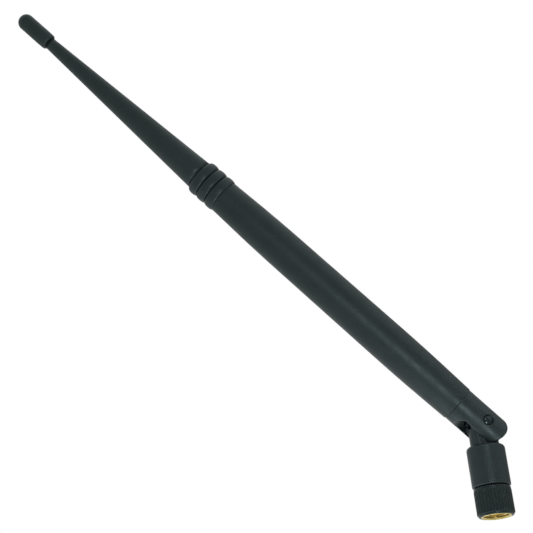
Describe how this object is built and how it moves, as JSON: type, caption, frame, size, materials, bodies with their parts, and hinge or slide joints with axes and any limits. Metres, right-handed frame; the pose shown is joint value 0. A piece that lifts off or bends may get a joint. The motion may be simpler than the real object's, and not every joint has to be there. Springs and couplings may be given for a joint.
{
  "type": "omnidirectional antenna",
  "caption": "Long tapered whip antenna with a ring collar, a tilt hinge and a swivel barrel, on a threaded coaxial plug with a ribbed coupling nut.",
  "frame": {"origin": "centre of the coupling nut's mouth, where the mating jack enters", "axes": "+Z along the plug and the swivel barrel, from the nut's mouth to the hinge; the tilt hinge's axis is parallel to Y; the blade leans 45 degrees towards -X at rest"},
  "size_m": [0.2005, 0.017, 0.2296],
  "materials": {
    "blade_plastic": "fine spark-eroded texture, dark green-black",
    "knuckle_plastic": "fine texture with a slight sheen",
    "nut_plastic": "satin, ribbed",
    "stud_plastic": "polished dome",
    "gold_plate": "gold-plated, fine turning marks",
    "brass": "drawn",
    "copper": "bare drawn wire",
    "spring_steel": "stamped",
    "fluoropolymer": "waxy white",
    "foam": "closed-cell foam",
    "cable_jacket": "smooth extruded",
    "cable_braid": "silver-plated braid",
    "silicone": "moulded ring",
    "black_rubber": "moulded"
  },
  "bodies": {
    "plug": {"plug_body": "gold_plate", "plug_insulator": "fluoropolymer", "centre_contact": "gold_plate", "plug_gasket": "silicone", "nut_retaining_ring": "spring_steel", "swivel_retaining_ring": "spring_steel", "tail_ferrule": "gold_plate", "tail_sleeve": "black_rubber", "plug_cable_jacket": "cable_jacket", "plug_cable_braid": "cable_braid", "plug_cable_dielectric": "fluoropolymer", "plug_cable_conductor": "copper"},
    "coupling_nut": {"nut_grip": "nut_plastic", "nut_insert": "gold_plate"},
    "barrel": {"swivel_barrel": "knuckle_plastic", "friction_washers": "spring_steel", "cable_bend": "cable_jacket"},
    "blade": {"clevis": "knuckle_plastic", "pivot_studs": "stud_plastic", "lower_sheath": "blade_plastic", "ring_collar": "blade_plastic", "upper_mast": "blade_plastic", "tip_cap": "blade_plastic", "choke_tube": "brass", "feed_ferrule": "brass", "feed_insulator": "fluoropolymer", "lower_radiator": "brass", "lower_phasing_coil": "copper", "middle_radiator": "brass", "upper_phasing_coil": "copper", "upper_radiator": "brass", "centring_discs": "foam", "cable_grommet": "black_rubber", "blade_cable_jacket": "cable_jacket", "blade_cable_braid": "cable_braid", "blade_cable_dielectric": "fluoropolymer", "blade_cable_conductor": "copper"}
  },
  "joints": [
    {"name": "nut_spin", "type": "hinge", "parent": "plug", "child": "coupling_nut", "pos_m": [0, 0, 0.006], "axis": [0, 0, 1], "continuous": true},
    {"name": "barrel_swivel", "type": "hinge", "parent": "plug", "child": "barrel", "pos_m": [0, 0, 0.015], "axis": [0, 0, 1], "range_deg": [-180, 180]},
    {"name": "blade_tilt", "type": "hinge", "parent": "barrel", "child": "blade", "pos_m": [0, 0, 0.038], "axis": [0, -1, 0], "range_deg": [-45, 45], "deforming": ["cable_bend"]}
  ]
}
